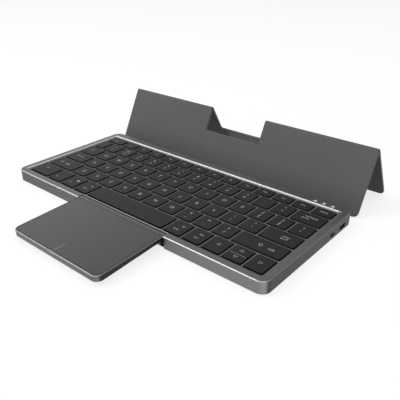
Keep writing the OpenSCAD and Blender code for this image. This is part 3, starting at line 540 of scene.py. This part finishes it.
def leather_strip(name, line, thickness, low_x, high_x, start, end, nodes):
    """A strip of leather that runs across the object and follows a line in the YZ plane."""
    mesh = bmesh.new()
    rows = []
    for index, (y, z) in enumerate(line):
        before = Vector(line[max(index - 1, 0)])
        after = Vector(line[min(index + 1, len(line) - 1)])
        along = (after - before).normalized()
        out = Vector((-along.y, along.x)) * thickness / 2
        rows.append((mesh.verts.new((low_x, y + out.x, z + out.y)), mesh.verts.new((low_x, y - out.x, z - out.y))))
    for (a, b), (c, d) in zip(rows, rows[1:]):
        mesh.faces.new((a, b, d, c))
    grown = bmesh.ops.extrude_face_region(mesh, geom=list(mesh.faces))
    moved = [g for g in grown["geom"] if isinstance(g, bmesh.types.BMVert)]
    bmesh.ops.translate(mesh, vec=(high_x - low_x, 0, 0), verts=moved)
    bmesh.ops.recalc_face_normals(mesh, faces=mesh.faces)
    ends = [e for e in mesh.edges if len(e.link_faces) == 2 and e.calc_face_angle() > math.radians(60)]
    bmesh.ops.bevel(mesh, geom=ends, offset=thickness * 0.3, offset_type="OFFSET", affect="EDGES",
                    segments=2, profile=0.5, material=-1)
    piece = finished(name, mesh, cover_leather)
    soften(piece)
    start[0] * MM
    start[1] * MM
    end[0] * MM
    end[1] * MM
    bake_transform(piece)
    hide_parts(*nodes)


def arc(middle, radius, first, last, steps):
    """Points on an arc in the YZ plane, from one angle to another, in degrees from +Y."""
    angles = [math.radians(first + (last - first) * i / steps) for i in range(steps + 1)]
    return [(middle[0] + radius * math.cos(a), middle[1] + radius * math.sin(a)) for a in angles]


RIDGE_THICK = 1.84
RIDGE_SUNK = 0.04  # below the panels' outer faces, over both sides
RIDGE_LIFT = (PANEL_T - RIDGE_SUNK - RIDGE_THICK) / 2


def ridge_line():
    """The middle of the leather over the ridge, flush with both panels and rounded between them."""
    ridge = Vector(RIDGE_AXIS)
    radius = 0.45
    reach = RIDGE_SET + 0.2
    up = Vector((math.cos(FRONT_SLOPE), math.sin(FRONT_SLOPE)))
    down = Vector((math.cos(REAR_SLOPE), -math.sin(REAR_SLOPE)))
    front_out, rear_out = Vector((-up.y, up.x)), Vector((-down.y, down.x))
    sunk = (radius - RIDGE_LIFT) / math.sin(FRONT_SLOPE + REAR_SLOPE)
    bend = ridge + Vector((math.cos(REAR_SLOPE) - math.cos(FRONT_SLOPE),
                           -math.sin(FRONT_SLOPE) - math.sin(REAR_SLOPE))) * sunk
    over = arc(bend, radius, math.degrees(FRONT_SLOPE) + 90, 90 - math.degrees(REAR_SLOPE), 8)
    start = ridge - up * reach + front_out * RIDGE_LIFT
    finish = ridge + down * reach + rear_out * RIDGE_LIFT
    lead = [tuple(start.lerp(Vector(over[0]), k / 3)) for k in range(3)]
    tail = [tuple(Vector(over[-1]).lerp(finish, k / 3)) for k in range(1, 4)]
    return lead + over + tail


for side, low_x, high_x in (("left", -COVER_W / 2 + 0.2, NOTCH_X - NOTCH_W / 2 - 0.1),
                            ("right", NOTCH_X + NOTCH_W / 2 + 0.1, COVER_W / 2 - 0.2)):
    leather_strip(f"ridge_leather_{side}", ridge_line(), RIDGE_THICK, low_x, high_x,
                  (RIDGE_AXIS[0] - 1.1, RIDGE_AXIS[1] - 1), (RIDGE_AXIS[0] + 1.1, RIDGE_AXIS[1] - 1), ["ridge_bead"])


def spine_line():
    """The middle of the leather that joins the back of the case to the foot of the front panel."""
    wall = CASE_HIGH.y + 0.42
    y, z = FOLD_AXIS
    c, s = math.cos(FRONT_SLOPE), math.sin(FRONT_SLOPE)
    foot = (y + 0.5 * c + (FOLD_OFFSET + 0.4) * s, z + 0.5 * s - (FOLD_OFFSET + 0.4) * c)
    rise = [(wall, 1.4), (wall, 2.4), (wall, 3.4)]
    over = arc((wall + 1.1, z - 0.9), 1.1, 180, 75, 6)
    return rise + over + [tuple(Vector(over[-1]).lerp(Vector(foot), k / 4)) for k in range(1, 5)]


SPINE_HALF = corners("cover_spine")[1].x
SPINE_THICK = 0.8
leather_strip("spine_leather", spine_line(), SPINE_THICK, -SPINE_HALF, SPINE_HALF,
              (FOLD_AXIS[0] - 0.9, FOLD_AXIS[1]), (FOLD_AXIS[0] + 0.9, FOLD_AXIS[1]), ["cover_spine", "spine_bead"])


# ---- Legends ----

PITCH = 16.6  # from key to key
CAP_INSET = 1.1  # from a key's share of the pitch to its cap
LETTER, DIGIT, FUNCTION = 3.1, 2.4, 1.7  # heights of the marks in the groups
PAIR_RISE = 2.6  # from a cap's middle to each of two marks
INK_THICK = 0.02
INK = CAP_TOP + 0.008  # the middle of the ink
DECK_INK = DECK + 0.008


def lettering(mesh, words, x, y, z, height):
    """Adds a word or mark to a mesh, centred on a point, as thin ink."""
    curve = bpy.data.curves.new("lettering", "FONT")
    curve.body = words
    curve.size = height / 0.7
    curve.offset = -0.005 * curve.size
    curve.resolution_u = 3
    curve.extrude = 0.012
    curve.align_x = "CENTER"
    curve.align_y = "CENTER"
    helper = bpy.data.objects.new("lettering", curve)
    bpy.context.scene.collection.objects.link(helper)
    bpy.context.view_layer.update()
    shape = bpy.data.meshes.new_from_object(helper.evaluated_get(bpy.context.evaluated_depsgraph_get()))
    shape.transform(Matrix.Translation((x, y, z)))
    mesh.from_mesh(shape)
    bpy.data.objects.remove(helper)
    bpy.data.curves.remove(curve)
    bpy.data.meshes.remove(shape)


SHAPES = {
    "triangle": [(-0.5, -0.45), (0.5, -0.45), (0, 0.45)],
    "shift": [(-0.22, -0.5), (0.22, -0.5), (0.22, 0), (0.5, 0), (0, 0.5), (-0.5, 0), (-0.22, 0)],
    "back": [(-0.5, 0), (-0.34, 0.12), (-0.34, 0.03), (0.5, 0.03), (0.5, -0.03), (-0.34, -0.03), (-0.34, -0.12)],
    "return": [(-0.5, 0), (-0.3, 0.14), (-0.3, 0.035), (0.43, 0.035), (0.43, 0.3), (0.5, 0.3),
               (0.5, -0.035), (-0.3, -0.035), (-0.3, -0.14)],
    "diamond": [(0, -0.5), (0.5, 0), (0, 0.5), (-0.5, 0)],
    "bar": [(-0.5, -0.5), (0.5, -0.5), (0.5, 0.5), (-0.5, 0.5)]
}


def sign(mesh, name, x, y, z, size, turn=0, line=0.0, tall=1.0):
    """Adds one of the shapes to a mesh as thin ink, filled or as an outline of this line width."""
    shape = bmesh.new()
    face = flat_face(shape, SHAPES[name])
    bmesh.ops.scale(shape, vec=(size, size * tall, 1), verts=shape.verts)
    if line:
        bmesh.ops.inset_individual(shape, faces=[face], thickness=line, depth=0, use_even_offset=True)
        bmesh.ops.delete(shape, geom=[face], context="FACES")
    grown = bmesh.ops.extrude_face_region(shape, geom=list(shape.faces))
    moved = [g for g in grown["geom"] if isinstance(g, bmesh.types.BMVert)]
    bmesh.ops.translate(shape, vec=(0, 0, INK_THICK), verts=moved)
    bmesh.ops.rotate(shape, cent=(0, 0, 0), matrix=Matrix.Rotation(math.radians(turn), 3, "Z"), verts=shape.verts)
    bmesh.ops.translate(shape, vec=(x, y, z - 0.008), verts=shape.verts)
    data = bpy.data.meshes.new("sign")
    shape.to_mesh(data)
    shape.free()
    mesh.from_mesh(data)
    bpy.data.meshes.remove(data)


def cap_middle(node):
    """The x and y of a cap's middle."""
    low, high = corners(node)
    return (low.x + high.x) / 2, (low.y + high.y) / 2


def row_legends(node, marks, height, pairs=False):
    """The marks of a group of keys, one above the other where a mark is a pair."""
    mesh = bmesh.new()
    y = cap_middle(node)[1]
    for index, mark in enumerate(marks):
        x = corners(node)[0].x - CAP_INSET + (index + 0.5) * PITCH
        if pairs and len(mark) == 2:
            lettering(mesh, mark[0], x, y + PAIR_RISE, INK, height)
            lettering(mesh, mark[1], x, y - PAIR_RISE, INK, height)
        else:
            lettering(mesh, mark, x, y, INK, height)
    piece = finished(f"{node}_legends", mesh, legend_ink)
    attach(piece, node)


row_legends("function_keys", [f"F{n}" for n in range(1, 13)], FUNCTION)
row_legends("number_keys", ["!1", "@2", "#3", "$4", "%5", "^6", "&7", "*8", "(9", ")0", "_-", "+="], DIGIT,
            pairs=True)
row_legends("keys_row_q", list("QWERTYUIOP") + ["{[", "}]"], LETTER, pairs=True)
row_legends("keys_row_a", list("ASDFGHJKL") + [":;", "\"'"], LETTER, pairs=True)
row_legends("keys_row_z", list("ZXCVBNM") + ["<,", ">.", "?/"], LETTER, pairs=True)

# Marks on the single keys: a word, or a star and the name of a shape; its place
# from the cap's middle, to the right and to the back; its height; a shape's turn
LEGENDS = {
    "key_escape": [("esc", -1.5, 0, 1.8)],
    "key_delete": [("delete", 0, 0, 1.8)],
    "key_grave": [("~", 0, 2.4, 2.2), ("`", 0, -2.8, 2.2)],
    "key_backspace": [("backspace", 1, 2, 1.7), ("*back", -2.6, -1.2, 6)],
    "key_tab": [("tab", -2, 1.6, 2)],
    "key_backslash": [("|", 0, 2.6, 2.2), ("\\", 0, -2.6, 2.2)],
    "key_caps": [("caps lock", -1, 1.5, 1.7)],
    "key_enter": [("enter", 3.2, 1.4, 1.8), ("*return", 2.6, -1.6, 5)],
    "key_shift_left": [("*shift", -6.6, 0.4, 3.4), ("shift", 1.2, -0.4, 2)],
    "key_shift_right": [("*shift", 0, 0, 3.4), ("shift", 8.6, -1, 2)],
    "key_ctrl_left": [("ctrl", -2.6, 2.4, 1.8)],
    "key_fn": [("fn", -2.4, -3.4, 1.5)],
    "key_system": [("*diamond", 2.4, 1.6, 2.8), ("alt", -2.2, -2.6, 1.5)],
    "key_alt_left": [("alt", 2, 2.6, 1.7), ("cmd", -0.6, -2.8, 1.7)],
    "key_alt_right": [("alt", 2, 2.6, 1.7), ("cmd", -0.6, -2.8, 1.7)],
    "key_ctrl_right": [("opt", 1.4, 2.4, 1.7), ("ctrl", 0.6, -2.6, 1.7)],
    "key_left": [("*triangle", 0, 0.6, 3, 90)],
    "key_right": [("*triangle", 0, 0.6, 3, -90)],
    "key_up": [("*triangle", 0, 0, 3, 0)],
    "key_down": [("*triangle", 0, 0, 3, 180)]
}
OUTLINED = {"*shift": 0.22, "*triangle": 0.22}  # line widths
for node, marks in LEGENDS.items():
    mesh = bmesh.new()
    x, y = cap_middle(node)
    for mark, right, back, height, *turn in marks:
        if mark.startswith("*"):
            sign(mesh, mark[1:], x + right, y + back, INK, height, *turn, line=OUTLINED.get(mark, 0.0))
        else:
            lettering(mesh, mark, x + right, y + back, INK, height)
    if node == "key_down":  # the line between the two half keys
        low, high = corners(node)
        sign(mesh, "bar", x, high.y - 0.42, INK, high.x - low.x - 1.6, tall=0.02)
    ink = dim_ink if mark == "*triangle" else legend_ink
    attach(finished(f"{node}_legend", mesh, ink), node)

# Signs round the three indicators
LENS_R = 1
mesh = bmesh.new()
lens_low, lens_high = corners("indicator_lenses")
for index in range(3):
    lens_x = lens_low.x + LENS_R + index * (lens_high.x - lens_low.x - 2 * LENS_R) / 2
    sign(mesh, "triangle", lens_x, (lens_low.y + lens_high.y) / 2, DECK_INK, 3.6, line=0.4)
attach(finished("indicator_signs", mesh, legend_ink), "case")


# ---- Stage ----

def stage():
    """A pale floor that the camera sees as white, with the object's shadow on it."""
    mesh = bmesh.new()
    bmesh.ops.create_grid(mesh, x_segments=4, y_segments=4, size=6.0)
    data = bpy.data.meshes.new("floor")
    mesh.to_mesh(data)
    mesh.free()
    floor = bpy.data.objects.new("floor", data)
    bpy.context.scene.collection.objects.link(floor)
    pale = Finish("pale_floor", (0.9, 0.9, 0.9), roughness=0.9)
    light_path = pale.tree.nodes.new("ShaderNodeLightPath")
    camera, glossy, through = (Value(pale, light_path.outputs[f"Is {ray} Ray"])
                               for ray in ("Camera", "Glossy", "Transmission"))
    share = camera.maths("MAXIMUM", camera.maths("MAXIMUM", camera, glossy), through)
    glow = pale.node("ShaderNodeEmission", None, {"Color": (1, 1, 1, 1), "Strength": 1.0})
    mixed = pale.node("ShaderNodeMixShader", None, {
        0: share * 0.78, 1: Value(pale, pale.shader.outputs[0]), 2: glow})
    pale.tree.links.new(mixed.socket, pale.tree.nodes["Material Output"].inputs["Surface"])
    pale.on(floor)


def softbox(name, place, size, power):
    """A round area light, aimed at the origin."""
    light = bpy.data.lights.new(name, "AREA")
    light.shape = "DISK"
    light.size = size
    light.energy = power
    lamp = bpy.data.objects.new(name, light)
    lamp.location = place
    lamp.rotation_euler = Vector(place).to_track_quat("Z", "Y").to_euler()
    bpy.context.scene.collection.objects.link(lamp)


def surroundings(level):
    """Even white light from all round."""
    world = bpy.data.worlds.new("studio")
    world.use_nodes = True
    world.node_tree.nodes["Background"].inputs["Color"].default_value = (1, 1, 1, 1)
    world.node_tree.nodes["Background"].inputs["Strength"].default_value = level
    bpy.context.scene.world = world


stage()
surroundings(0.55)
softbox("key_light", (-1.0, -0.9, 1.3), size=1.1, power=16)
softbox("fill_light", (1.1, -0.9, 0.9), size=1.2, power=5)
softbox("top_light", (0.1, 0.3, 1.7), size=1.4, power=9)

bpy.context.scene.view_settings.view_transform = "Standard"
